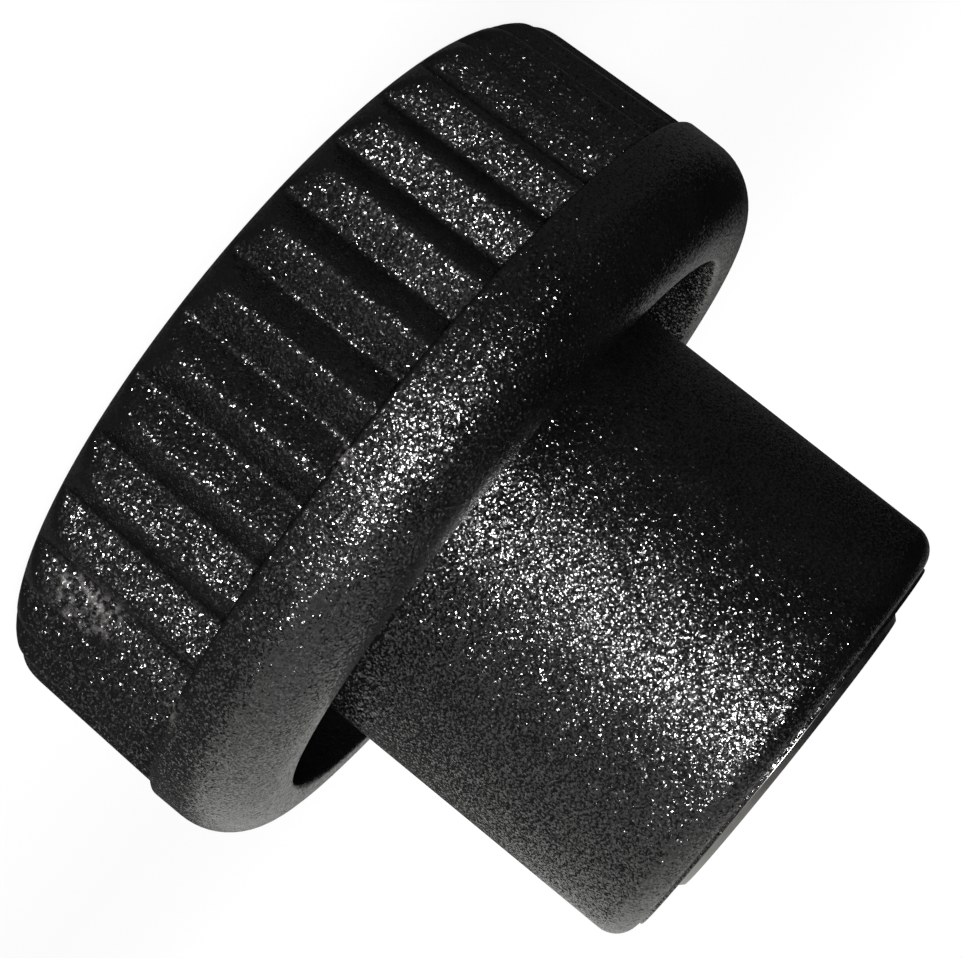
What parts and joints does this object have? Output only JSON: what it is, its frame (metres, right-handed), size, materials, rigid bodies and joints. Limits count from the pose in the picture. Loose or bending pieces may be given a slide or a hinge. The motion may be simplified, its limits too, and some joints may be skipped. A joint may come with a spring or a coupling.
{
  "type": "knurled nut",
  "caption": "Moulded plastic thumb nut with a fluted round head, a cylindrical hub in an annular recess and a blind threaded steel bush.",
  "frame": {"origin": "centre of the flat crown face, on which the nut stands", "axes": "+Z along the thread's axis, from the crown face to the open end of the threaded bush; a ridge of the knurl stands near the -Y line"},
  "size_m": [0.04, 0.04, 0.0312],
  "materials": {
    "moulding": "fine spark-eroded grain, glass-filled black plastic",
    "bush_metal": "turned, zinc plated"
  },
  "bodies": {
    "root": {"body": "moulding", "threaded_bush": "bush_metal"}
  },
  "joints": []
}
